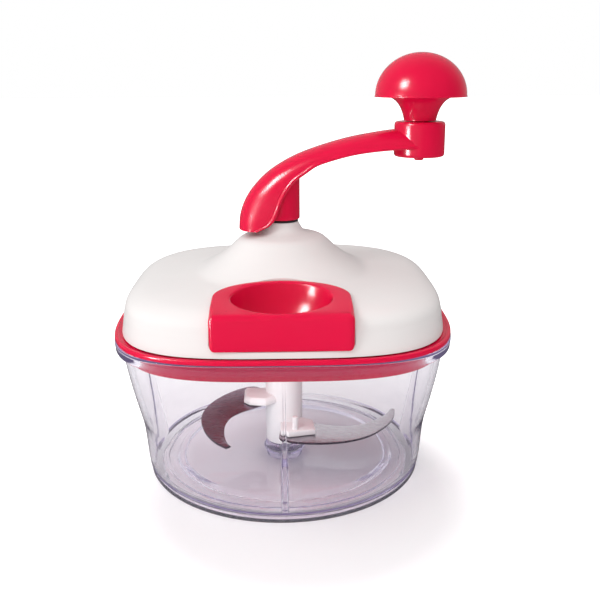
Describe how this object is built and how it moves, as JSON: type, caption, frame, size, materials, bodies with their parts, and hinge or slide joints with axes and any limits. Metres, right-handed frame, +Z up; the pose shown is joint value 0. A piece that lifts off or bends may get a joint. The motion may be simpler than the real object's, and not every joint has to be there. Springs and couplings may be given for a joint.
{
  "type": "crank food chopper",
  "caption": "Hand-cranked food chopper: clear flared bowl, white domed lid with a red feed funnel, and a red crank that drives sickle blades through internal gears.",
  "frame": {"origin": "centre of the flat pad under the bowl, flush with the plane of the bowl's foot ring", "axes": "+Z up along the crank and blade axis, +X towards the knob with the crank at rest, -Y towards the feed funnel and the viewer"},
  "size_m": [0.1808, 0.171, 0.2201],
  "materials": {
    "clear_bowl": "clear, polished",
    "red_plastic": "glossy",
    "cover_plastic": "satin gloss",
    "white_plastic": "satin",
    "gear_plastic": "satin",
    "bush_plastic": "satin",
    "blade_steel": "polished",
    "steel": "turned"
  },
  "bodies": {
    "bowl": {"bowl": "clear_bowl", "pivot_pin": "steel"},
    "blade_unit": {"blade_column": "white_plastic", "lower_blade": "blade_steel", "upper_blade": "blade_steel", "lower_blade_pin": "white_plastic", "upper_blade_pin": "white_plastic"},
    "lid": {"lid_base": "red_plastic", "cover": "cover_plastic", "neck_bush": "bush_plastic", "output_bush": "bush_plastic", "cover_screw_1": "steel", "cover_screw_2": "steel", "cover_screw_3": "steel", "cover_screw_4": "steel", "idler_axle_1": "steel", "idler_axle_2": "steel"},
    "idler_1": {"idler_gear_1": "gear_plastic"},
    "idler_2": {"idler_gear_2": "gear_plastic"},
    "output": {"output_pinion": "gear_plastic"},
    "crank": {"drive_ring_gear": "gear_plastic", "crank_arm": "red_plastic", "crank_screw": "steel"},
    "knob": {"knob_stem": "red_plastic", "knob_cap": "red_plastic", "knob_rivet": "red_plastic"},
    "funnel": {"feed_funnel": "red_plastic"}
  },
  "joints": [
    {"name": "crank_spin", "type": "hinge", "parent": "lid", "child": "crank", "pos_m": [0, 0, 0.14], "axis": [0, 0, 1], "continuous": true},
    {"name": "knob_spin", "type": "hinge", "parent": "crank", "child": "knob", "pos_m": [0.0716, 0, 0.19], "axis": [0, 0, 1], "continuous": true},
    {"name": "idler_1_spin", "type": "hinge", "parent": "lid", "child": "idler_1", "pos_m": [0.015, 0, 0.09], "axis": [0, 0, 1], "continuous": true},
    {"name": "idler_2_spin", "type": "hinge", "parent": "lid", "child": "idler_2", "pos_m": [-0.015, 0, 0.09], "axis": [0, 0, 1], "continuous": true},
    {"name": "output_spin", "type": "hinge", "parent": "lid", "child": "output", "pos_m": [0, 0, 0.085], "axis": [0, 0, 1], "continuous": true},
    {"name": "blade_spin", "type": "hinge", "parent": "bowl", "child": "blade_unit", "pos_m": [0, 0, 0.04], "axis": [0, 0, 1], "continuous": true},
    {"name": "lid_lift", "type": "slide", "parent": "bowl", "child": "lid", "axis": [0, 0, 1], "range_m": [0, 0.1]},
    {"name": "funnel_lift", "type": "slide", "parent": "lid", "child": "funnel", "axis": [0, 0, 1], "range_m": [0, 0.045]}
  ],
  "couplings": [
    {"joint": "idler_1_spin", "follows": "crank_spin", "ratio": 3},
    {"joint": "idler_2_spin", "follows": "crank_spin", "ratio": 3},
    {"joint": "output_spin", "follows": "crank_spin", "ratio": -3},
    {"joint": "blade_spin", "follows": "crank_spin", "ratio": -3}
  ]
}
